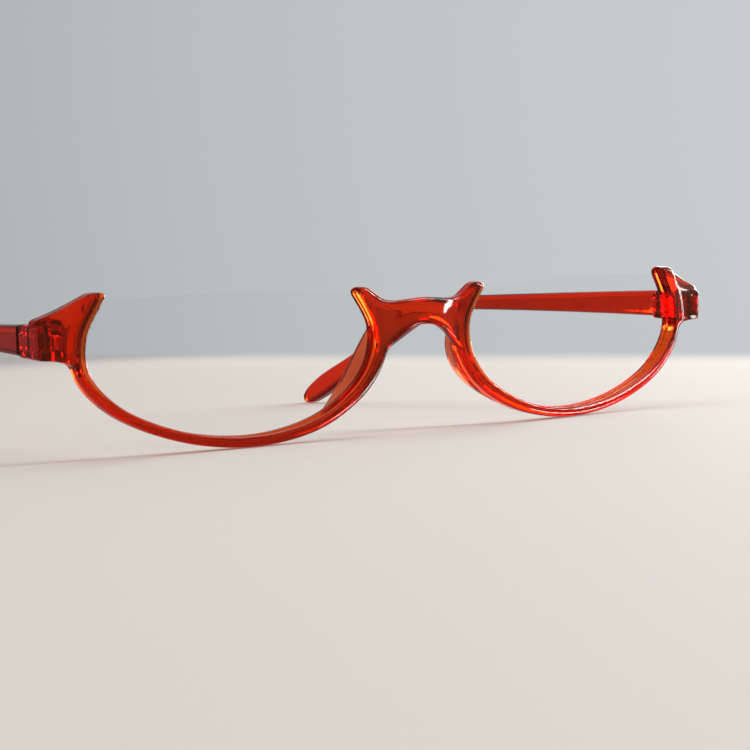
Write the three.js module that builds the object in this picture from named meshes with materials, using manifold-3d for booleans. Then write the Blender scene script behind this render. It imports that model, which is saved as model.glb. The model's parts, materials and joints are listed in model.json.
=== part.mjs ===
// Half-rim reading glasses in one transparent moulded plastic: a front with two lower rims whose
// ends stand up as small horns, two clear lenses, two nose pads, and two temples on screwed knuckle
// hinges. Millimetres. Each piece is drawn in the front's own frame: +X to the wearer's left, +Y from
// the front towards the ears, +Z up, with Y = 0 on the middle of the bridge's front and Z = 0 at the
// bottom of the rims. The front leans forward when the glasses stand on rims and temple tips, so the
// whole assembly is pitched by STAND_PITCH, and its origin is the bottom centre of its box.
import * as THREE from "three";
import { mergeVertices } from "three/addons/utils/BufferGeometryUtils.js";
import Module from "manifold-3d";

const wasm = await Module();
wasm.setup();

// ---- driving dimensions ----
const FACE_RADIUS = 317; // curve of the front across the face, seen from above
const FRONT_DEPTH = 4; // rim and bridge, front to back
const EDGE_ROUND = 0.4;
const BRIDGE_DEPTH = 3; // in its middle, where its back is hollowed for the nose
const HOLLOW_R = 29;
const HOLLOW_SIDES = 128;
const RIM_WIDTH = 1.7; // rim section, from the lens outwards
const RIM_WIDTH_NOSE = 2.3;
const LENS_DEPTH = 1.5;
const LENS_FRONT = 1.2; // how far the lens sits behind the front's face
const LENS_BITE = 0.5; // how deep the lens edge sits in the groove
const GROOVE_GAP = 0.12;

const END_X = 65.2; // outer side of the end piece and of the temple at the hinge
const END_BOTTOM = 16.2; // of the end piece's face, and of the lug behind it
const END_TOP = 21.7;
const LUG_BOTTOM = 15.9;
const LUG_TOP = 21.2;
const JOINT_Y = 15.2; // back of the end piece
const TEMPLE_Y = 15.5; // front of the temple

const HINGE_X = 61.7;
const HINGE_Y = 13.5;
const HINGE_Z = 18.35;
const KNUCKLE_R = 1.6;
const TONGUE_HALF = 1.1; // half the height of the temple's middle knuckle
const KNUCKLE_GAP = 0.12;
const BORE_R = 0.66;
const SHANK_R = 0.6;
const HEAD_R = 0.95;
const HEAD_DEPTH = 0.55;
const NUT_R = 0.95;
const NUT_DEPTH = 0.9;
const SEAT_GAP = 0.12; // round the screw's head and the nut in their seats

const TEMPLE_THICK = 3.1;
const TEMPLE_TIP_THICK = 2.7;
const TOE_IN = THREE.MathUtils.degToRad(3.1); // the open temples point inwards by this much

const STAND_PITCH = THREE.MathUtils.degToRad(4.43);

const WEB_X = 63.9; // outer side of the web from the temple to its knuckle
const LUG_ROOT_Y = 8.5;
const TEMPLE_ROUND = 0.9;
const TEMPLE_STEPS = 34;
const CORNER_STEPS = 4;
// Along the temple's middle: Y, Z and height.
const TEMPLE_PATH = [
  [TEMPLE_Y, 18.6, 4.9], [30, 18.25, 4.35], [48, 17.7, 3.75], [68, 17, 3.2], [80, 16.4, 3.1],
  [91, 14.1, 3.15], [104, 8.4, 3.55], [119, 1.1, 4.2], [131, -4.4, 5], [137, -7.3, 4.4],
  [139.8, -8.7, 3], [140.8, -9.2, 1.4],
];

const LENS_CROWN = 1.6; // rise of the lens's top edge towards its middle
const LENS_MIDDLE_X = 34;
const LENS_MIDDLE_Z = 15;
const GROOVE_RISE = 0.3; // how much higher the groove's crown is than the lens's
const CROWN_STEPS = 14;
const PLATE_RINGS = [1, 0.72, 0.4];
const EDGE_STEPS = 60; // stretches of the lens edge
const RIM_FIRST = 12; // the stretches whose outer side is the rim's
const RIM_LAST = 48;

const PAD_MIDDLE = 1.3;
const PAD_END = 0.4; // half the pad's width at its ends
const PAD_SWELL = 0.5; // and how much more it has in the middle
const PAD_DEPTH = 3.8;
const PAD_FLARE = 0.22;
const PAD_ROUND = 0.2;
const PAD_FULLNESS = 0.7; // below 1, the fin keeps its depth nearer to its ends
const PAD_FIRST = 39; // the stretches of the lens edge that the pad follows
const PAD_LAST = 53;

const WEB_OVERLAP = 0.3; // how far the knuckle's slot runs inwards past the hinge axis
const CUT_REACH = 4; // bores and seats are cut this far from the hinge's middle
const SCREW_CHAMFER = 0.12;
const DRIVER_WIDTH = 0.28;
const DRIVER_DEPTH = 0.25;

// ---- materials ----
const plastic = () =>
  new THREE.MeshStandardMaterial({ color: 0xc8321c, roughness: 0.12, metalness: 0 });
const clear = () =>
  new THREE.MeshStandardMaterial({ color: 0xf2f6f5, roughness: 0.03, metalness: 0, opacity: 0.2 });
const steel = () =>
  new THREE.MeshStandardMaterial({ color: 0x8b8d90, roughness: 0.3, metalness: 1 });

// ---- helpers ----
function solidOf(geometry) {
  const bare = geometry.clone();
  bare.deleteAttribute("normal");
  bare.deleteAttribute("uv");
  const merged = mergeVertices(bare, 1e-4);
  const triVerts = new Uint32Array(merged.index.array);
  return new wasm.Manifold(
    new wasm.Mesh({ numProp: 3, vertProperties: merged.attributes.position.array, triVerts }),
  );
}

function geometryOf(solid) {
  const { vertProperties, triVerts } = solid.getMesh();
  const geometry = new THREE.BufferGeometry();
  geometry.setAttribute("position", new THREE.BufferAttribute(vertProperties, 3));
  geometry.setIndex(new THREE.BufferAttribute(triVerts, 1));
  geometry.computeVertexNormals();
  return geometry;
}

// The same solid on the other side of the face.
function mirrored(solid) {
  const geometry = geometryOf(solid).scale(-1, 1, 1);
  const order = geometry.index.array;
  for (let i = 0; i < order.length; i += 3) [order[i + 1], order[i + 2]] = [order[i + 2], order[i + 1]];
  return solidOf(geometry);
}

// How far the curved front has swept back at x.
const sweep = (x) => FACE_RADIUS - Math.sqrt(FACE_RADIUS ** 2 - x ** 2);

// An outline in X and Z, extruded from one depth behind the curved front's face to another.
function frontSlab(shape, from, to, round = 0) {
  const geometry = new THREE.ExtrudeGeometry(shape, {
    depth: to - from - 2 * round,
    bevelEnabled: round > 0,
    bevelThickness: round,
    bevelSize: round,
    bevelOffset: -round,
    bevelSegments: 2,
    curveSegments: 1,
  });
  const at = geometry.attributes.position;
  for (let i = 0; i < at.count; i++) {
    const depth = to - round - at.getZ(i);
    at.setXYZ(i, at.getX(i), sweep(at.getX(i)) + depth, at.getY(i));
  }
  return geometry;
}

function box(x0, x1, y0, y1, z0, z1) {
  const geometry = new THREE.BoxGeometry(x1 - x0, y1 - y0, z1 - z0);
  return geometry.translate((x0 + x1) / 2, (y0 + y1) / 2, (z0 + z1) / 2);
}

// A round bar on the hinge axis between two heights above the hinge's middle.
function hingeBar(radius, z0, z1, sides = 32) {
  const bar = new THREE.CylinderGeometry(radius, radius, z1 - z0, sides);
  return bar.rotateX(Math.PI / 2).translate(HINGE_X, HINGE_Y, HINGE_Z + (z0 + z1) / 2);
}

const spline = (points, count) =>
  new THREE.SplineCurve(points.map(([x, z]) => new THREE.Vector2(x, z))).getPoints(count);

// ---- outline of the front ----
// Where the lens meets the rim, from the outer horn's tip down round the lens to the inner horn's tip.
const LENS_EDGE = spline(
  [
    [55.3, 24.4], [57.9, 18.9], [57.4, 13.2], [52, 7.6], [42, 3.55], [31, 2.3],
    [21, 4.1], [13.8, 8.2], [10, 13.2], [9.4, 18.7], [12.1, 23.8],
  ],
  EDGE_STEPS,
);

// The lens edge moved away from the lens by a distance that may change along it.
function offsetEdge(distance) {
  const last = LENS_EDGE.length - 1;
  return LENS_EDGE.map((point, i) => {
    const along = LENS_EDGE[Math.min(i + 1, last)].clone().sub(LENS_EDGE[Math.max(i - 1, 0)]);
    const outward = new THREE.Vector2(-along.y, along.x).normalize();
    return point.clone().addScaledVector(outward, distance(i / last));
  });
}

function halfOutline() {
  const noseBlend = (t) => THREE.MathUtils.smoothstep(t, 0.5, 0.85);
  const rimWidth = (t) => THREE.MathUtils.lerp(RIM_WIDTH, RIM_WIDTH_NOSE, noseBlend(t));
  const rim = offsetEdge(rimWidth).slice(RIM_FIRST, RIM_LAST + 1).reverse();
  const vectors = (points) => points.map(([x, z]) => new THREE.Vector2(x, z));
  const bridgeBelow = vectors([
    [0, 18.55], [1.1, 18.5], [2.3, 18.2], [3.6, 17.55], [4.8, 16.65], [6, 15.5], [7.05, 14.2],
  ]);
  const endPiece = vectors([
    [59.6, 14.5], [60.8, 15.35], [62.5, 15.9], [64.4, END_BOTTOM], [END_X - 0.15, END_BOTTOM + 0.2],
    [END_X, END_BOTTOM + 0.6], [END_X, END_TOP - 0.4], [END_X - 0.2, END_TOP + 0.2],
    [63.7, 22.5], [61.8, 23.25], [60, 24.1], [58.2, 25.1], [57, 25.75], [56, 25.95], [55.1, 25.5],
  ]);
  const innerHorn = vectors([[12.1, 24.5], [11.4, 25], [10.3, 24.9], [8.9, 23.8], [7.4, 22.9], [5.2, 22.6]]);
  return [...bridgeBelow, ...rim, ...endPiece, ...LENS_EDGE, ...innerHorn, new THREE.Vector2(0, 23)];
}

function frontOutline() {
  const right = halfOutline();
  const left = right.slice(1, -1).reverse().map((p) => new THREE.Vector2(-p.x, p.y));
  return new THREE.Shape([...right, ...left]);
}

// ---- pieces on the wearer's left; the right ones are their mirror images ----
// A bent plate inside the lens edge: rings of points shrink towards the lens's middle, so the flat
// triangles follow the curve of the front.
function plate(bite, from, to, topRise) {
  const lower = offsetEdge(() => bite);
  const start = lower[lower.length - 1];
  const end = lower[0];
  const crown = new THREE.Vector2((start.x + end.x) / 2, Math.max(start.y, end.y) + LENS_CROWN + topRise);
  const top = new THREE.QuadraticBezierCurve(start, crown, end).getPoints(CROWN_STEPS).slice(1, -1);
  const outline = [...lower, ...top];
  const middle = new THREE.Vector2(LENS_MIDDLE_X, LENS_MIDDLE_Z);
  const n = outline.length;
  const positions = [];
  const faces = [];
  for (const depth of [from, to]) {
    for (const share of PLATE_RINGS) {
      for (const point of outline) {
        const p = middle.clone().lerp(point, share);
        positions.push(p.x, sweep(p.x) + depth, p.y);
      }
    }
    positions.push(middle.x, sweep(middle.x) + depth, middle.y);
  }
  const side = PLATE_RINGS.length * n + 1;
  for (let i = 0; i < n; i++) {
    const j = (i + 1) % n;
    for (const [base, flip] of [[0, true], [side, false]]) {
      const triangle = (a, b, c) => faces.push(...(flip ? [a, c, b] : [a, b, c]).map((v) => v + base));
      for (let ring = 0; ring < PLATE_RINGS.length - 1; ring++) {
        const outer = ring * n;
        const inner = outer + n;
        triangle(outer + i, outer + j, inner + j);
        triangle(outer + i, inner + j, inner + i);
      }
      const last = (PLATE_RINGS.length - 1) * n;
      triangle(last + i, last + j, side - 1);
    }
    faces.push(i, j, side + j, i, side + j, side + i);
  }
  const geometry = new THREE.BufferGeometry();
  geometry.setAttribute("position", new THREE.Float32BufferAttribute(positions, 3));
  geometry.setIndex(faces);
  return geometry;
}

// The end piece turned back behind the front, with its inner corner rounded about the hinge axis.
function lug() {
  const plan = new THREE.Shape();
  plan.moveTo(HINGE_X - KNUCKLE_R, LUG_ROOT_Y);
  plan.lineTo(END_X, LUG_ROOT_Y);
  plan.lineTo(END_X, JOINT_Y);
  plan.lineTo(HINGE_X, JOINT_Y);
  plan.absarc(HINGE_X, HINGE_Y, KNUCKLE_R, Math.PI / 2, Math.PI, false);
  return new THREE.ExtrudeGeometry(plan, {
    depth: LUG_TOP - LUG_BOTTOM,
    bevelEnabled: false,
    curveSegments: 10,
  }).translate(0, 0, LUG_BOTTOM);
}

// The upright cylinder that hollows the back of the bridge.
function bridgeHollow() {
  const bar = new THREE.CylinderGeometry(HOLLOW_R, HOLLOW_R, 2 * END_TOP, HOLLOW_SIDES);
  return bar.rotateX(Math.PI / 2).translate(0, BRIDGE_DEPTH + HOLLOW_R, END_TOP);
}

// Everything cut from the front on one side: the lens groove, the slot for the temple's knuckle,
// the screw's bore, and the seats of its head and of its nut.
function frontCuts() {
  const slotHalf = TONGUE_HALF + KNUCKLE_GAP;
  const slotZ = [HINGE_Z - slotHalf, HINGE_Z + slotHalf];
  const headSeat = LUG_TOP - HINGE_Z - HEAD_DEPTH - 2 * SEAT_GAP;
  const nutSeat = LUG_BOTTOM - HINGE_Z + NUT_DEPTH + 2 * SEAT_GAP;
  return [
    plate(LENS_BITE + GROOVE_GAP, LENS_FRONT - GROOVE_GAP, LENS_FRONT + LENS_DEPTH + GROOVE_GAP, GROOVE_RISE),
    hingeBar(KNUCKLE_R + KNUCKLE_GAP, -slotHalf, slotHalf),
    box(HINGE_X - WEB_OVERLAP, WEB_X + KNUCKLE_GAP, HINGE_Y - KNUCKLE_GAP, JOINT_Y + 1, ...slotZ),
    hingeBar(BORE_R, -CUT_REACH, CUT_REACH),
    hingeBar(HEAD_R + SEAT_GAP, headSeat, CUT_REACH),
    hingeBar(NUT_R + SEAT_GAP, -CUT_REACH, nutSeat),
  ].map(solidOf);
}

function front() {
  let solid = solidOf(frontSlab(frontOutline(), 0, FRONT_DEPTH, EDGE_ROUND));
  const endPiece = solidOf(lug());
  solid = solid.add(endPiece).add(mirrored(endPiece));
  solid = solid.subtract(solidOf(bridgeHollow()));
  for (const cut of frontCuts()) solid = solid.subtract(cut).subtract(mirrored(cut));
  return geometryOf(solid);
}

// A fin behind the nose side of the rim: a crescent seen from the front, deepest in its middle, and
// opening towards the face.
function nosePad() {
  const swell = (t) => Math.sin((Math.PI * (t * EDGE_STEPS - PAD_FIRST)) / (PAD_LAST - PAD_FIRST));
  const halfWidth = (t) => PAD_END + PAD_SWELL * swell(t);
  const noseSide = offsetEdge((t) => PAD_MIDDLE + halfWidth(t)).slice(PAD_FIRST, PAD_LAST + 1);
  const lensSide = offsetEdge((t) => PAD_MIDDLE - halfWidth(t)).slice(PAD_FIRST, PAD_LAST + 1);
  const shape = new THREE.Shape([...noseSide, ...lensSide.reverse()]);
  const from = FRONT_DEPTH + SEAT_GAP;
  const geometry = frontSlab(shape, from, from + PAD_DEPTH, PAD_ROUND);
  const low = noseSide[0].y - 0.5;
  const high = noseSide[noseSide.length - 1].y + 0.5;
  const at = geometry.attributes.position;
  for (let i = 0; i < at.count; i++) {
    const [x, y, z] = [at.getX(i), at.getY(i), at.getZ(i)];
    const share = THREE.MathUtils.clamp((z - low) / (high - low), 0.1, 0.9);
    const bulge = Math.sin(Math.PI * share) ** PAD_FULLNESS;
    const depth = (y - sweep(x) - from) * bulge;
    at.setXYZ(i, x + PAD_FLARE * depth, sweep(x) + from + depth, z);
  }
  return geometry;
}

// The arm: a rounded bar lofted along its path from the hinge to the ear, with a flat outer side.
function templeBar() {
  const path = new THREE.CatmullRomCurve3(
    TEMPLE_PATH.map(([y, z, height]) => new THREE.Vector3(y, z, height)),
  );
  const stations = path.getPoints(TEMPLE_STEPS);
  const positions = [];
  const faces = [];
  const ring = 4 * CORNER_STEPS;
  stations.forEach((station, s) => {
    const before = stations[Math.max(s - 1, 0)];
    const after = stations[Math.min(s + 1, TEMPLE_STEPS)];
    const along = new THREE.Vector2(after.x - before.x, after.y - before.y).normalize();
    if (s === 0) along.set(1, 0);
    const thick = THREE.MathUtils.lerp(TEMPLE_THICK, TEMPLE_TIP_THICK, s / TEMPLE_STEPS);
    const half = station.z / 2;
    const round = Math.min(TEMPLE_ROUND, 0.8 * half);
    for (let k = 0; k < ring; k++) {
      const corner = Math.floor(k / CORNER_STEPS);
      const angle = ((corner + (k % CORNER_STEPS) / (CORNER_STEPS - 1)) * Math.PI) / 2;
      const signX = corner === 0 || corner === 3 ? 1 : -1;
      const signZ = corner < 2 ? 1 : -1;
      const across = -thick / 2 + signX * (thick / 2 - round) + round * Math.cos(angle);
      const up = signZ * (half - round) + round * Math.sin(angle);
      const y = station.x - up * along.y;
      const x = END_X + across - (y - TEMPLE_Y) * Math.tan(TOE_IN);
      positions.push(x, y, station.y + up * along.x);
    }
  });
  for (let s = 0; s < TEMPLE_STEPS; s++) {
    for (let k = 0; k < ring; k++) {
      const next = (k + 1) % ring;
      const [a, b, c, d] = [s * ring + k, s * ring + next, (s + 1) * ring + next, (s + 1) * ring + k];
      faces.push(a, c, b, a, d, c);
    }
  }
  for (let k = 1; k < ring - 1; k++) {
    const end = TEMPLE_STEPS * ring;
    faces.push(0, k, k + 1, end, end + k + 1, end + k);
  }
  const geometry = new THREE.BufferGeometry();
  geometry.setAttribute("position", new THREE.Float32BufferAttribute(positions, 3));
  geometry.setIndex(faces);
  return geometry;
}

function temple() {
  const web = box(HINGE_X, WEB_X, HINGE_Y, TEMPLE_Y + 1, HINGE_Z - TONGUE_HALF, HINGE_Z + TONGUE_HALF);
  const solid = solidOf(templeBar())
    .add(solidOf(web))
    .add(solidOf(hingeBar(KNUCKLE_R, -TONGUE_HALF, TONGUE_HALF)))
    .subtract(solidOf(hingeBar(BORE_R, -CUT_REACH, CUT_REACH)));
  return geometryOf(solid);
}

function lathed(profile) {
  const points = profile.map(([r, z]) => new THREE.Vector2(r, z));
  const turned = new THREE.LatheGeometry(points, 32);
  return turned.rotateX(Math.PI / 2).translate(HINGE_X, HINGE_Y, HINGE_Z);
}

const HEAD_TOP = LUG_TOP - HINGE_Z - SEAT_GAP;
const SCREW_END = LUG_BOTTOM - HINGE_Z + SEAT_GAP;

function screw() {
  const turned = lathed([
    [0, SCREW_END], [SHANK_R, SCREW_END], [SHANK_R, HEAD_TOP - HEAD_DEPTH],
    [HEAD_R, HEAD_TOP - HEAD_DEPTH], [HEAD_R, HEAD_TOP - SCREW_CHAMFER],
    [HEAD_R - SCREW_CHAMFER, HEAD_TOP], [0, HEAD_TOP],
  ]);
  const top = HINGE_Z + HEAD_TOP;
  const half = DRIVER_WIDTH / 2;
  const driverSlot = box(
    HINGE_X - 2 * HEAD_R, HINGE_X + 2 * HEAD_R, HINGE_Y - half, HINGE_Y + half, top - DRIVER_DEPTH, top + 1,
  );
  return geometryOf(solidOf(turned).subtract(solidOf(driverSlot)));
}

const nut = () =>
  lathed([
    [BORE_R, SCREW_END], [NUT_R, SCREW_END], [NUT_R, SCREW_END + NUT_DEPTH],
    [BORE_R, SCREW_END + NUT_DEPTH], [BORE_R, SCREW_END],
  ]);

// ---- assembly ----
const glasses = new THREE.Group();
const assembly = new THREE.Group();
assembly.rotation.x = STAND_PITCH;
glasses.add(assembly);

function place(name, geometry, material, mirror = false) {
  const mesh = new THREE.Mesh(geometry, material);
  mesh.name = name;
  if (mirror) mesh.scale.x = -1;
  assembly.add(mesh);
}

place("front_frame", front(), plastic());
const lens = () => plate(LENS_BITE, LENS_FRONT, LENS_FRONT + LENS_DEPTH, 0);
const pairs = [
  ["lens", lens, clear],
  ["nose_pad", nosePad, plastic],
  ["temple", temple, plastic],
  ["hinge_screw", screw, steel],
  ["hinge_nut", nut, steel],
];
for (const [name, build, material] of pairs) {
  place(name + "_left", build(), material());
  place(name + "_right", build(), material(), true);
}

// The origin is the middle of the base of the box round everything.
const bounds = new THREE.Box3().setFromObject(glasses, true);
glasses.position.set(0, -(bounds.min.y + bounds.max.y) / 2, -bounds.min.z);

export default glasses;
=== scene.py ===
import json
import math

import bpy
import numpy as np
from mathutils import Matrix, Vector


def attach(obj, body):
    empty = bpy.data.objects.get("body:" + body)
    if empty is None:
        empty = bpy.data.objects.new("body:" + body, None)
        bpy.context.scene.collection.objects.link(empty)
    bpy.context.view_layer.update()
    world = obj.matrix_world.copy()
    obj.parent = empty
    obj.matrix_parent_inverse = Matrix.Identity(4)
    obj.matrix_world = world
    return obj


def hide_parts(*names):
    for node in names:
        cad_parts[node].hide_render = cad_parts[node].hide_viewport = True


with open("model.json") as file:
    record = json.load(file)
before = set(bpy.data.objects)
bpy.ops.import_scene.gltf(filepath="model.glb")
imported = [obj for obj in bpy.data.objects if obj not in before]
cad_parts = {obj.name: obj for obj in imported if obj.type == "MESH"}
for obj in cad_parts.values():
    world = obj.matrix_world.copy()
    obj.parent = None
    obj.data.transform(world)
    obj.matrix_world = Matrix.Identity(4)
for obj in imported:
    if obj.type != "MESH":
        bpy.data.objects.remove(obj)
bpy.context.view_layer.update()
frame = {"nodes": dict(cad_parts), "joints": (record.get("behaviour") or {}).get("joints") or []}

# ---------------------------------------------------------------- the part's own frame
# The front is drawn in its own frame: +X to the wearer's left, +Y back to the ears, +Z up, in mm,
# before the glasses lean forward onto rims and temple tips. The hinge ties it to the row frame.
HINGE = (61.7, 13.5, 18.35)
fold = next(j for j in frame["joints"] if j["name"] == "temple_left_fold")
LEAN = math.atan2(-fold["axis"][1], fold["axis"][2])
ROT = np.array([[1, 0, 0], [0, math.cos(LEAN), -math.sin(LEAN)], [0, math.sin(LEAN), math.cos(LEAN)]])
SHIFT = np.array(fold["pos_m"]) * 1000 - ROT @ np.array(HINGE)
SHIFT[0] = 0.0

FACE_RADIUS = 317.0
DEPTH = 4.0
BRIDGE_DEPTH, HOLLOW_R = 3.0, 29.0
END_X = 65.2
END_TOP = 21.7
LUG_BOTTOM, LUG_TOP = 15.9, 21.2
JOINT_Y, TEMPLE_Y = 15.2, 15.5
KNUCKLE_R, TONGUE_HALF, GAP = 1.6, 1.1, 0.12
BORE_R, SEAT_R, HEAD_SEAT, NUT_SEAT = 0.66, 1.07, 0.79, 1.14
WEB_X, WEB_OVERLAP = 63.9, 0.3
LENS_BITE, LENS_FRONT, LENS_DEPTH = 0.5, 1.2, 1.5
RIM_WIDTH, RIM_WIDTH_NOSE = 1.7, 2.3
TOE = math.tan(math.radians(3.1))

# Radii of the front's edges, at the face and at the back.
FACE_ROUND, FACE_ROUND_BRIDGE = 0.84, 0.34
BACK_ROUND, BACK_ROUND_LOW, BACK_ROUND_BRIDGE, BACK_ROUND_END = 1.15, 1.55, 1.9, 0.4
END_RECESS = 0.5  # how far the end piece's face lies behind the rim's
BRIDGE_RELIEF = 0.6  # and the rims' faces behind the bridge's, next to it
PAD_MIDDLE, PAD_END, PAD_SWELL, PAD_DEPTH, PAD_FLARE = 1.3, 0.34, 0.55, 3.75, 0.22
TEMPLE_THICK, TEMPLE_TIP_THICK, TEMPLE_LENGTH = 3.1, 2.7, 125.0


def sweep(x):
    return FACE_RADIUS - np.sqrt(FACE_RADIUS**2 - x**2)


def rise(value, start, end):
    """0 up to the start, 1 from the end on, and a straight rise between them."""
    return np.clip((value - start) / (end - start), 0, 1)


def eased(t):
    return t * t * (3 - 2 * t)


def to_row(points):
    return (points @ ROT.T + SHIFT) * 0.001


# ---------------------------------------------------------------- curves
def spline(knots, count):
    """A uniform Catmull-Rom curve through the knots."""
    p = np.array(knots, float)
    n = len(p) - 1
    out = []
    for t in np.linspace(0, n, count + 1):
        i = min(int(t), n - 1)
        w = t - i
        p0, p1, p2, p3 = p[max(i - 1, 0)], p[i], p[i + 1], p[min(i + 2, n)]
        a, b = (p2 - p0) * 0.5, (p3 - p1) * 0.5
        out.append((2 * p1 - 2 * p2 + a + b) * w**3 + (-3 * p1 + 3 * p2 - 2 * a - b) * w**2 + a * w + p1)
    return np.array(out)


def offset(curve, distance):
    """The curve moved to its left, by a distance for each point."""
    along = np.gradient(curve, axis=0)
    normal = np.stack([-along[:, 1], along[:, 0]], 1)
    normal /= np.linalg.norm(normal, axis=1)[:, None]
    return curve + normal * np.asarray(distance).reshape(-1, 1)


def nearest(line, u, v, closed=False):
    """Distance to a polyline, and the share of it where the nearest point lies."""
    a = np.asarray(line, float)
    b = np.roll(a, -1, 0) if closed else a[1:]
    a = a if closed else a[:-1]
    best = np.full(u.shape, np.inf)
    where = np.zeros(u.shape)
    for i, (p, q) in enumerate(zip(a, b)):
        d = q - p
        length2 = d @ d
        if length2 < 1e-12:
            continue
        t = np.clip(((u - p[0]) * d[0] + (v - p[1]) * d[1]) / length2, 0, 1)
        ex, ey = u - p[0] - t * d[0], v - p[1] - t * d[1]
        r2 = ex * ex + ey * ey
        closer = r2 < best
        best = np.where(closer, r2, best)
        where = np.where(closer, (i + t) / len(a), where)
    return np.sqrt(best), where


def inside(polygon, u, v):
    p = np.asarray(polygon, float)
    q = np.roll(p, -1, 0)
    hit = np.zeros(u.shape, bool)
    for (x0, y0), (x1, y1) in zip(p, q):
        if y0 == y1:
            continue
        crosses = (y0 > v) != (y1 > v)
        hit ^= crosses & (u < (x1 - x0) * (v - y0) / (y1 - y0) + x0)
    return hit


def region(polygon, u, v):
    """Signed distance to a closed outline, negative inside."""
    d, _ = nearest(polygon, u, v, closed=True)
    return np.where(inside(polygon, u, v), -d, d)


# ---------------------------------------------------------------- solids as distance fields
def both(a, b, r):
    """What is inside a and b, with the edge between them rounded."""
    return np.minimum(np.maximum(a, b), -r) + np.hypot(np.maximum(a + r, 0), np.maximum(b + r, 0))


def either(a, b, k):
    """a and b joined, with a fillet between them."""
    h = np.maximum(k - np.abs(a - b), 0) / k
    return np.minimum(a, b) - h * h * k * 0.25


def slab(value, middle, half):
    return np.abs(value - middle) - half


def skin(field, axes):
    """The field's zero surface as quads: one vertex in each cell it passes, where its edges cross."""
    f = field.astype(np.float32)
    sign = f < 0
    shape = np.array(f.shape) - 1
    total = np.zeros(tuple(shape) + (3,), np.float32)
    count = np.zeros(tuple(shape), np.float32)
    crossings = []
    for axis in range(3):
        lo = [slice(None)] * 3
        hi = [slice(None)] * 3
        lo[axis], hi[axis] = slice(None, -1), slice(1, None)
        change = sign[tuple(lo)] != sign[tuple(hi)]
        index = np.argwhere(change)
        a, b = f[tuple(lo)][change], f[tuple(hi)][change]
        where = index.astype(np.float32)
        where[:, axis] += a / (a - b)
        crossings.append((axis, index, sign[tuple(lo)][change]))
        others = [k for k in range(3) if k != axis]
        for s in (0, 1):
            for t in (0, 1):
                cell = index.copy()
                cell[:, others[0]] -= s
                cell[:, others[1]] -= t
                ok = ((cell >= 0) & (cell < shape)).all(1)
                key = tuple(cell[ok].T)
                np.add.at(total, key, where[ok])
                np.add.at(count, key, 1)
    used = count > 0
    ids = np.full(used.shape, -1, np.int64)
    ids[used] = np.arange(used.sum())
    places = total[used] / count[used][:, None]
    quads = []
    for axis, index, first in crossings:
        others = [k for k in range(3) if k != axis]
        ring = []
        for s, t in ((1, 1), (0, 1), (0, 0), (1, 0)):
            cell = index.copy()
            cell[:, others[0]] -= s
            cell[:, others[1]] -= t
            ring.append(ids[tuple(np.clip(cell, 0, shape - 1).T)])
        q = np.stack(ring, 1)
        flip = first if axis != 1 else ~first
        q = np.where(flip[:, None], q, q[:, ::-1])
        quads.append(q[(q >= 0).all(1)])
    verts = np.stack([np.interp(places[:, k], np.arange(len(axes[k])), axes[k]) for k in range(3)], 1)
    return verts, np.concatenate(quads)


def make(name, verts, quads, body, material, slot, nodes):
    """A mesh object from front-frame points in mm, that stands for CAD nodes and rides on their body."""
    co = to_row(verts)
    mesh = bpy.data.meshes.new(name)
    mesh.vertices.add(len(co))
    mesh.vertices.foreach_set("co", co.astype(np.float32).ravel())
    mesh.loops.add(quads.size)
    mesh.loops.foreach_set("vertex_index", quads.ravel().astype(np.int32))
    mesh.polygons.add(len(quads))
    mesh.polygons.foreach_set("loop_start", np.arange(0, quads.size, 4, dtype=np.int32))
    mesh.update(calc_edges=True)
    mesh.validate()
    mesh.shade_smooth()
    mesh.materials.append(material)
    obj = bpy.data.objects.new(name, mesh)
    bpy.context.scene.collection.objects.link(obj)
    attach(obj, body)
    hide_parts(*nodes)
    return obj


# ---------------------------------------------------------------- outlines of the front
EDGE = spline(
    [[55.3, 24.4], [57.9, 18.9], [57.4, 13.2], [52, 7.6], [42, 3.55], [31, 2.3],
     [21, 4.1], [13.8, 8.2], [10, 13.2], [9.4, 18.7], [12.1, 23.8]],
    120,
)
nose_side = eased(rise(np.linspace(0, 1, len(EDGE)), 0.5, 0.85))
RIM = offset(EDGE, RIM_WIDTH + (RIM_WIDTH_NOSE - RIM_WIDTH) * nose_side)[24:97][::-1]
END_LOW = spline(
    [RIM[-1], [59.7, 14.6], [60.9, 15.35], [62.6, 15.95], [64.3, 16.3], [END_X - 0.05, 16.9]], 30
)[1:]
BRIDGE_LOW = spline(
    [[0, 18.55], [1.1, 18.5], [2.3, 18.2], [3.6, 17.55], [4.8, 16.65], [6.0, 15.5], [7.0, 14.3], RIM[0]], 36
)[:-1]
HORN_OUT = spline(
    [[END_X, END_TOP - 0.1], [END_X - 0.3, 22.0], [63.7, 22.5], [61.8, 23.25], [60, 24.1], [58.2, 25.1],
     [57.1, 25.7], [56.2, 25.9], [55.0, 25.8], [54.2, 24.9], [53.2, 22.5]],
    54,
)
HORN_IN = spline(
    [[14.5, 22.8], [13.2, 24.0], [12.3, 24.8], [11.4, 25.1], [10.3, 24.85], [8.9, 23.85], [7.4, 22.95],
     [5.2, 22.65], [2.6, 22.85], [0, 23]],
    54,
)


def front_regions(x, z):
    half = np.concatenate([BRIDGE_LOW, RIM, END_LOW, HORN_OUT, HORN_IN])
    other = half[1:-1][::-1] * np.array([-1, 1])
    solid = region(np.concatenate([half, other]), x, z)
    first, last = EDGE[0], EDGE[-1]
    up = np.array([first + (first - EDGE[1]) * 12, last + (last - EDGE[-2]) * 12])
    hole = region(np.concatenate([[up[0]], EDGE, [up[1]]]), x, z)
    return solid, hole


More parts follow.
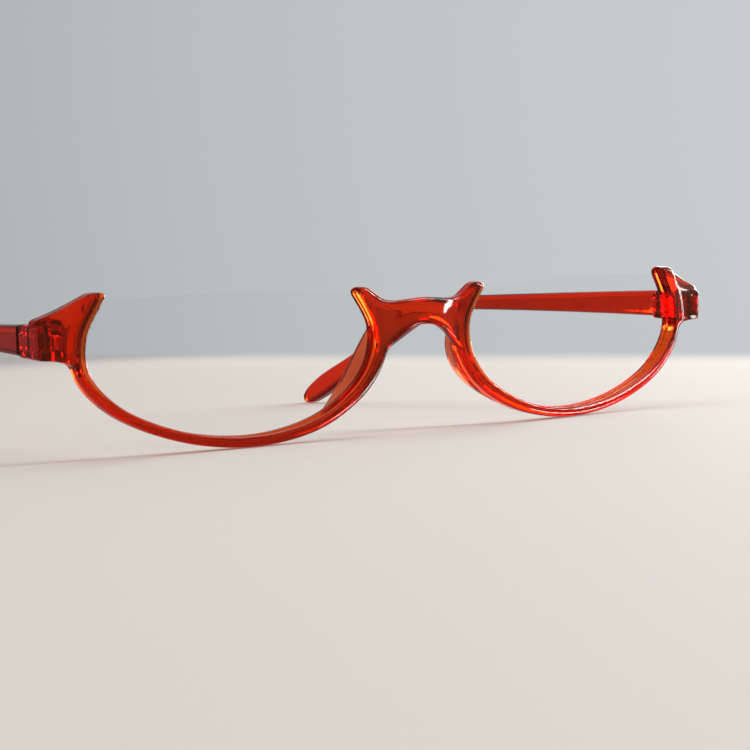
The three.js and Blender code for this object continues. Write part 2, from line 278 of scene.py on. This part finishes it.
def front_piece(h, material):
    xs = np.arange(0, 66.6, h)
    ds = np.arange(-2 * h, 15.6, h)
    zs = np.arange(-2 * h, 26.4, h)
    x2, z2 = np.meshgrid(xs, zs, indexing="ij")
    solid, hole = front_regions(x2, z2)
    # past the rim the end piece lies a little deeper, with a facet falling back to its top edge
    step = eased(rise(hole, 2.15, 2.7)) * rise(x2, 55.5, 57.5) * rise(z2, 12.5, 14.5)
    facet = rise(x2, 56.5, 58.5) * rise(z2, 19.0, 20.2)
    # the bridge stands proud of the rims beside it, and leans back towards its top
    middle = eased(1 - rise(x2, 2.8, 7.2))
    beside = eased(1 - rise(x2, 12.0, 24.0))
    lean = 0.06 * np.clip(z2 - 18.5, 0, 5) + 0.035 * np.clip(z2 - 20.0, 0, 3.2) ** 2
    relief = BRIDGE_RELIEF * beside * (1 - middle) + lean * middle
    low = rise(x2, 25.0, 33.0) * (1 - rise(x2, 53.0, 57.0))
    under_bridge = (1 - rise(x2, 5.0, 9.0)) * rise(z2, 14.0, 16.0)
    end = rise(x2, 57.5, 60.5) * rise(z2, 13.5, 15.0)
    back_round = BACK_ROUND + (BACK_ROUND_LOW - BACK_ROUND) * low
    back_round += (BACK_ROUND_BRIDGE - BACK_ROUND) * under_bridge + (BACK_ROUND_END - BACK_ROUND) * end
    x, d, z = np.meshgrid(xs, ds, zs, indexing="ij", sparse=True)
    a, b = solid[:, None, :], hole[:, None, :]
    front_face = END_RECESS * step[:, None, :] + relief[:, None, :] - d
    hollow = BRIDGE_DEPTH + HOLLOW_R - np.sqrt(HOLLOW_R**2 - np.minimum(x, 20.0) ** 2) - sweep(x)
    back_face = d - np.where(x < 20.0, np.minimum(DEPTH, hollow), DEPTH)
    plain = 1 - facet[:, None, :]
    f = both(a, front_face, FACE_ROUND_BRIDGE + (FACE_ROUND - FACE_ROUND_BRIDGE) * rise(x, 4.0, 10.0) * plain)
    f = np.maximum(f, both(a, back_face, back_round[:, None, :]))
    bevel = 0.95 * front_face + 0.3 * (a + 2.1) - 2 * plain
    f = both(f, bevel, 0.1)
    f = both(f, -b, 0.3)
    y = d + sweep(x)
    wall = both(HINGE[0] - KNUCKLE_R - x, y - JOINT_Y, KNUCKLE_R)
    wall = both(wall, x - END_X, 0.5)
    back = both(wall, slab(z, (LUG_TOP + LUG_BOTTOM) / 2, (LUG_TOP - LUG_BOTTOM) / 2), 0.7)
    back = np.maximum(back, 7.0 - y)
    f = np.maximum(either(f, back, 0.9), x - END_X)
    around = np.hypot(x - HINGE[0], y - HINGE[1])
    high = z - HINGE[2]
    slot_half = TONGUE_HALF + GAP
    knuckle = np.maximum(around - KNUCKLE_R - GAP, np.abs(high) - slot_half)
    web_in, web_out = HINGE[0] - WEB_OVERLAP, WEB_X + GAP
    web = np.maximum(slab(x, (web_in + web_out) / 2, (web_out - web_in) / 2), np.abs(high) - slot_half)
    web = np.maximum(web, HINGE[1] - GAP - y)
    bore = around - BORE_R
    head = np.maximum(around - SEAT_R, LUG_TOP - HEAD_SEAT - z)
    nut = np.maximum(around - SEAT_R, z - LUG_BOTTOM - NUT_SEAT)
    for cut in (knuckle, web, bore, head, nut):
        f = both(f, -cut, 0.1)
    groove = np.maximum(b - LENS_BITE - GAP, slab(d, LENS_FRONT + LENS_DEPTH / 2, LENS_DEPTH / 2 + GAP))
    f = np.maximum(f, -groove)
    full = np.concatenate([f[1:][::-1], f])
    places, quads = skin(full, (np.concatenate([-xs[1:][::-1], xs]), ds, zs))
    places[:, 1] += sweep(places[:, 0])
    return make("frame_front", places, quads, "front", material, "front_plastic", ["front_frame"])


def lens_piece(sign, material):
    h = 0.25
    xs, ds, zs = np.arange(7, 60, h), np.arange(0.7, 3.3, 0.15), np.arange(0, 27, h)
    x2, z2 = np.meshgrid(xs, zs, indexing="ij")
    first, last = EDGE[0], EDGE[-1]
    t = np.linspace(0, 1, 25)[1:-1, None]
    crown = np.array([(first[0] + last[0]) / 2, 26.0])
    top = (1 - t) ** 2 * last + 2 * t * (1 - t) * crown + t * t * first
    shape = region(np.concatenate([offset(EDGE, np.full(len(EDGE), LENS_BITE)), top]), x2, z2)
    f = both(shape[:, None, :], slab(ds[None, :, None], LENS_FRONT + LENS_DEPTH / 2, LENS_DEPTH / 2), 0.2)
    places, quads = skin(f, (xs, ds, zs))
    places[:, 1] += sweep(places[:, 0])
    side = "left" if sign > 0 else "right"
    return mirrored("lens_clear_" + side, places, quads, sign, "front", material, "lens", ["lens_" + side])


def mirrored(name, places, quads, sign, *rest):
    if sign < 0:
        places = places * np.array([-1, 1, 1])
        quads = quads[:, ::-1]
    return make(name, places, quads, *rest)


def pad_piece(sign, material):
    h = 0.12
    xs, ds, zs = np.arange(6.5, 17.5, h), np.arange(3.7, 8.4, h), np.arange(3.5, 20.5, h)
    line = offset(EDGE, np.full(len(EDGE), PAD_MIDDLE))[76:108]
    x, d, z = np.meshgrid(xs, ds, zs, indexing="ij")
    behind = d - (DEPTH + GAP)
    u, t = nearest(line, x - PAD_FLARE * behind, z)
    low, high = line[0][1] - 0.3, line[-1][1] + 0.3
    fullness = np.sin(math.pi * np.clip((z - low) / (high - low), 0.06, 0.94)) ** 0.7
    width = PAD_END + PAD_SWELL * np.sin(math.pi * t) * (1 - 0.25 * rise(behind, 0, 3.8))
    f = both(u - width, np.maximum(-behind, behind - PAD_DEPTH * fullness), 0.3)
    places, quads = skin(f, (xs, ds, zs))
    places[:, 1] += sweep(places[:, 0])
    side = "left" if sign > 0 else "right"
    return mirrored("nose_fin_" + side, places, quads, sign, "front", material, "pad_plastic",
                    ["nose_pad_" + side])


TEMPLE_PATH = spline(
    [[TEMPLE_Y, 18.6, 4.9], [30, 18.25, 4.35], [48, 17.7, 3.75], [68, 17.0, 3.2], [80, 16.4, 3.1],
     [91, 14.1, 3.15], [104, 8.4, 3.55], [119, 1.1, 4.2], [131, -4.4, 5.0], [137, -7.3, 4.4],
     [139.6, -8.6, 3.2], [140.7, -9.15, 1.9]],
    110,
)


def temple_piece(sign, material):
    h = 0.22
    xs, ys, zs = np.arange(-5.9, 0.6, h), np.arange(11.4, 142.6, h), np.arange(-13, 22.2, h)
    y2, z2 = np.meshgrid(ys, zs, indexing="ij")
    line = TEMPLE_PATH[:, :2]
    top = offset(line, TEMPLE_PATH[:, 2] / 2)
    low = offset(line, -TEMPLE_PATH[:, 2] / 2)
    top[0] = [TEMPLE_Y - 1.5, top[0][1]]
    low[0] = [TEMPLE_Y - 1.5, low[0][1]]
    tip = line[-1] + np.array([0.35, -0.22])
    outline = region(np.concatenate([low, [tip], top[::-1]]), y2, z2)
    x, y, z = np.meshgrid(xs, ys, zs, indexing="ij", sparse=True)
    thick = TEMPLE_THICK + (TEMPLE_TIP_THICK - TEMPLE_THICK) * rise(y, TEMPLE_Y, TEMPLE_Y + TEMPLE_LENGTH)
    outline = outline[None]
    # the outer side's edges are sharper than the inner one's
    f = np.maximum(both(outline, x, 0.7), both(outline, -x - thick, 1.05))
    f = both(f, TEMPLE_Y - y, 0.3)
    real_x = x + END_X - (y - TEMPLE_Y) * TOE
    high = z - HINGE[2]
    around = np.hypot(real_x - HINGE[0], y - HINGE[1])
    tongue = both(around - KNUCKLE_R, np.abs(high) - TONGUE_HALF, 0.15)
    web = np.maximum(HINGE[0] - real_x, real_x - WEB_X)
    web = np.maximum(web, np.maximum(HINGE[1] - y, y - TEMPLE_Y - 1.2))
    web = both(web, np.abs(high) - TONGUE_HALF, 0.12)
    f = either(f, np.minimum(tongue, web), 0.25)
    f = both(f, BORE_R - around, 0.08)
    places, quads = skin(f, (xs, ys, zs))
    places[:, 0] += END_X - (places[:, 1] - TEMPLE_Y) * TOE
    side = "left" if sign > 0 else "right"
    return mirrored("arm_" + side, places, quads, sign, "temple_" + side, material, "temple_plastic",
                    ["temple_" + side])


# ---------------------------------------------------------------- materials
def nodes_of(name):
    material = bpy.data.materials.new(name)
    material.use_nodes = True
    tree = material.node_tree
    tree.nodes.clear()
    out = tree.nodes.new("ShaderNodeOutputMaterial")
    return material, tree, out


def noise_of(tree, coords, scale, detail=2.0, rough=0.5):
    n = tree.nodes.new("ShaderNodeTexNoise")
    n.inputs["Scale"].default_value = scale
    n.inputs["Detail"].default_value = detail
    n.inputs["Roughness"].default_value = rough
    tree.links.new(coords, n.inputs["Vector"])
    return n.outputs["Fac"]


def ramp(tree, factor, *stops):
    node = tree.nodes.new("ShaderNodeValToRGB")
    while len(node.color_ramp.elements) < len(stops):
        node.color_ramp.elements.new(0.5)
    for element, (at, colour) in zip(node.color_ramp.elements, stops):
        element.position = at
        element.color = (*colour, 1)
    tree.links.new(factor, node.inputs["Fac"])
    return node.outputs["Color"]


def ranged(tree, factor, low, high, start=0.3, end=0.7):
    node = tree.nodes.new("ShaderNodeMapRange")
    node.inputs["From Min"].default_value = start
    node.inputs["From Max"].default_value = end
    node.inputs["To Min"].default_value = low
    node.inputs["To Max"].default_value = high
    tree.links.new(factor, node.inputs["Value"])
    return node.outputs["Result"]


def plastic(name, dark, light, density, wave=0.05, clear=0.965):
    """Transparent moulded plastic: tinted through its depth, glossy, with slow waves in its surface."""
    material, tree, out = nodes_of(name)
    coords = tree.nodes.new("ShaderNodeTexCoord").outputs["Object"]
    tint = ramp(tree, noise_of(tree, coords, 60, 3), (0.3, dark), (0.7, light))
    gloss = ranged(tree, noise_of(tree, coords, 900, 4), 0.03, 0.09)
    bump = tree.nodes.new("ShaderNodeBump")
    bump.inputs["Strength"].default_value = wave
    bump.inputs["Distance"].default_value = 0.0004
    tree.links.new(noise_of(tree, coords, 190, 2), bump.inputs["Height"])
    shader = tree.nodes.new("ShaderNodeBsdfPrincipled")
    shader.inputs["Transmission Weight"].default_value = clear
    shader.inputs["IOR"].default_value = 1.49
    tree.links.new(tint, shader.inputs["Base Color"])
    tree.links.new(gloss, shader.inputs["Roughness"])
    tree.links.new(bump.outputs["Normal"], shader.inputs["Normal"])
    depth = tree.nodes.new("ShaderNodeVolumeAbsorption")
    depth.inputs["Color"].default_value = (0.955, 0.41, 0.02, 1)
    depth.inputs["Density"].default_value = density
    tree.links.new(shader.outputs["BSDF"], out.inputs["Surface"])
    tree.links.new(depth.outputs["Volume"], out.inputs["Volume"])
    return material


def lens_material():
    material, tree, out = nodes_of("lens clear")
    coords = tree.nodes.new("ShaderNodeTexCoord").outputs["Object"]
    shader = tree.nodes.new("ShaderNodeBsdfPrincipled")
    shader.inputs["IOR"].default_value = 1.5
    tint = ramp(tree, noise_of(tree, coords, 40, 2), (0.3, (0.03, 0.033, 0.033)), (0.7, (0.06, 0.064, 0.062)))
    tree.links.new(tint, shader.inputs["Base Color"])
    tree.links.new(ranged(tree, noise_of(tree, coords, 500, 3), 0.02, 0.06), shader.inputs["Roughness"])
    tree.links.new(ranged(tree, noise_of(tree, coords, 25, 1), 0.012, 0.02), shader.inputs["Alpha"])
    tree.links.new(shader.outputs["BSDF"], out.inputs["Surface"])
    return material


def steel_material():
    material, tree, out = nodes_of("hinge steel")
    coords = tree.nodes.new("ShaderNodeTexCoord").outputs["Object"]
    shader = tree.nodes.new("ShaderNodeBsdfPrincipled")
    shader.inputs["Metallic"].default_value = 1.0
    tint = ramp(tree, noise_of(tree, coords, 1500, 4), (0.3, (0.16, 0.165, 0.18)), (0.7, (0.28, 0.285, 0.30)))
    tree.links.new(tint, shader.inputs["Base Color"])
    tree.links.new(ranged(tree, noise_of(tree, coords, 3000, 3), 0.22, 0.4), shader.inputs["Roughness"])
    tree.links.new(shader.outputs["BSDF"], out.inputs["Surface"])
    return material


front_plastic = plastic("front plastic", (0.80, 0.22, 0.05), (0.90, 0.33, 0.09), 1400)
temple_plastic = plastic("temple plastic", (0.86, 0.23, 0.05), (0.95, 0.33, 0.09), 1350)
pad_plastic = plastic("pad plastic", (0.85, 0.36, 0.20), (0.92, 0.44, 0.26), 1300, clear=0.8)

front_piece(0.15, front_plastic)
clear = lens_material()
steel = steel_material()
for sign in (1, -1):
    lens_piece(sign, clear)
    pad_piece(sign, pad_plastic)
    temple_piece(sign, temple_plastic)
for name in ("hinge_screw_left", "hinge_screw_right", "hinge_nut_left", "hinge_nut_right"):
    node = frame["nodes"][name]
    node.data.materials.clear()
    node.data.materials.append(steel)


# ---------------------------------------------------------------- floor, wall, lights
def mesh_object(name, verts, faces, material):
    mesh = bpy.data.meshes.new(name)
    mesh.from_pydata(verts, [], faces)
    mesh.shade_smooth()
    mesh.materials.append(material)
    obj = bpy.data.objects.new(name, mesh)
    bpy.context.scene.collection.objects.link(obj)
    return obj


# The camera stands where it sees the front from a little left of straight ahead, just above the floor.
EYE = Vector((-0.1695969, -0.3302399, 0.0183482))
RIGHT = Vector((0.84987156, -0.52357749, -0.05987445)).normalized()
UP = Vector((0.06531138, -0.00809501, 0.9978321))
BACK = RIGHT.cross(UP).normalized()
UP = BACK.cross(RIGHT)
FOCAL = 90.068

# Slopes of lines of sight, across and up the view: the floor's sides, its far edge, and each strip of
# the fade towards it.
FLOOR_LEFT, FLOOR_RIGHT = -0.2212, 0.5995
FLOOR_FAR, STRIP = 0.01279, 0.00063952
STRIPS = 11


def on_floor(across, up):
    """Where the line of sight with these slopes meets the floor."""
    ray = RIGHT * across + UP * up - BACK
    return EYE - ray * (EYE.z / ray.z)


# The floor ends in a straight line that looks level from the camera, and fades out towards it.
verts, faces = [], []
for i in range(STRIPS + 1):
    verts += [on_floor(FLOOR_LEFT, FLOOR_FAR - STRIP * i), on_floor(FLOOR_RIGHT, FLOOR_FAR - STRIP * i)]
for i in range(STRIPS):
    faces.append([2 * i, 2 * i + 1, 2 * i + 3, 2 * i + 2])
near_left, near_right = verts[-2], verts[-1]
along = (near_right - near_left).normalized()
towards = Vector((along.y, -along.x, 0))
if towards.x > 0:
    towards = -towards
verts += [near_right + along * 4, near_right + along * 4 + towards * 6, near_left + towards * 6]
k = 2 * (STRIPS + 1)
faces.append([k - 2, k - 1, k, k + 1, k + 2])
floor_material, tree, out = nodes_of("pale floor")
coords = tree.nodes.new("ShaderNodeTexCoord").outputs["Object"]
shader = tree.nodes.new("ShaderNodeBsdfPrincipled")
tint = ramp(tree, noise_of(tree, coords, 2.5, 1), (0.25, (0.75, 0.70, 0.655)), (0.75, (0.76, 0.71, 0.667)))
tree.links.new(tint, shader.inputs["Base Color"])
shader.inputs["Roughness"].default_value = 0.8
shader.inputs["Specular IOR Level"].default_value = 0.1
fade = tree.nodes.new("ShaderNodeAttribute")
fade.attribute_name = "fade"
tree.links.new(fade.outputs["Fac"], shader.inputs["Alpha"])
tree.links.new(shader.outputs["BSDF"], out.inputs["Surface"])
floor = mesh_object("floor", verts, faces, floor_material)
floor.visible_glossy = False
level = floor.data.attributes.new("fade", "FLOAT", "POINT")
values = [(i // 2) / STRIPS for i in range(2 * (STRIPS + 1))] + [1.0] * 3
level.data.foreach_set("value", [eased(v) for v in values])


def lamp(name, place, target, size, power, colour=(1, 1, 1), size_y=None):
    data = bpy.data.lights.new(name, "AREA")
    data.shape = "RECTANGLE"
    data.size = size
    data.size_y = size_y or size
    data.energy = power
    data.color = colour
    obj = bpy.data.objects.new(name, data)
    obj.location = place
    obj.rotation_euler = (Vector(target) - Vector(place)).to_track_quat("-Z", "Y").to_euler()
    bpy.context.scene.collection.objects.link(obj)


lamp("window", (1.15, 0.45, 0.21), (0, 0, 0), 1.15, 13, (1.0, 0.99, 0.97), 0.36)
lamp("low_glow", (0.70, -0.61, -0.36), (0, 0, 0.01), 0.42, 3.4, (1.0, 0.985, 0.98), 0.2)
lamp("side_strip", (0.92, -0.39, 0.03), (0, 0, 0.01), 0.15, 3.2, (1.0, 0.985, 0.98), 0.55)
lamp("window_front", (0.62, -0.6, 0.62), (0, 0, 0), 0.3, 5, (1.0, 0.99, 0.98), 0.8)
lamp("strip", (0.72, -0.72, 0.16), (0, 0, 0.02), 0.1, 2.6, (1.0, 1.0, 1.0), 0.3)
ceiling = bpy.data.lights.new("ceiling", "SUN")
ceiling.energy = 1.3
ceiling.angle = 1.2
ceiling.color = (1.0, 0.985, 0.96)
ceiling_object = bpy.data.objects.new("ceiling", ceiling)
ceiling_object.rotation_euler = (math.radians(-14), math.radians(8), 0)
bpy.context.scene.collection.objects.link(ceiling_object)
ceiling_object.visible_glossy = False

# Pale grey-blue surroundings, brighter towards the window's side.
world = bpy.data.worlds.new("studio")
bpy.context.scene.world = world
world.use_nodes = True
sky = world.node_tree
spot = sky.nodes.new("ShaderNodeTexCoord").outputs["Generated"]
dot = sky.nodes.new("ShaderNodeVectorMath")
dot.operation = "DOT_PRODUCT"
dot.inputs[1].default_value = (0.85, 0.52, 0.12)
sky.links.new(spot, dot.inputs[0])
shades = ramp(sky, ranged(sky, dot.outputs["Value"], 0, 1, -1, 1),
              (0.0, (0.05, 0.05, 0.055)), (0.7, (0.1, 0.105, 0.11)), (0.88, (0.36, 0.38, 0.385)),
              (1.0, (0.6, 0.63, 0.64)))
# Seen straight on, the dark side of the room is as pale as the rest.
seen = ramp(sky, ranged(sky, dot.outputs["Value"], 0, 1, -1, 1),
            (0.0, (0.37, 0.39, 0.395)), (0.85, (0.37, 0.39, 0.395)), (1.0, (0.6, 0.63, 0.64)))
pick = sky.nodes.new("ShaderNodeMix")
pick.data_type = "RGBA"
sky.links.new(sky.nodes.new("ShaderNodeLightPath").outputs["Is Camera Ray"], pick.inputs["Factor"])
sky.links.new(shades, pick.inputs["A"])
sky.links.new(seen, pick.inputs["B"])
background = sky.nodes["Background"]
sky.links.new(pick.outputs["Result"], background.inputs["Color"])
background.inputs["Strength"].default_value = 1.0

scene = bpy.context.scene
scene.view_settings.view_transform = "Standard"

# ---------------------------------------------------------------- camera
data = bpy.data.cameras.new("camera")
data.sensor_width = 36.0
data.lens = FOCAL
data.clip_start = 0.01
data.clip_end = 20
camera = bpy.data.objects.new("camera", data)
camera.matrix_world = Matrix((
    (RIGHT.x, UP.x, BACK.x, EYE.x),
    (RIGHT.y, UP.y, BACK.y, EYE.y),
    (RIGHT.z, UP.z, BACK.z, EYE.z),
    (0, 0, 0, 1),
))
scene.collection.objects.link(camera)
scene.camera = camera
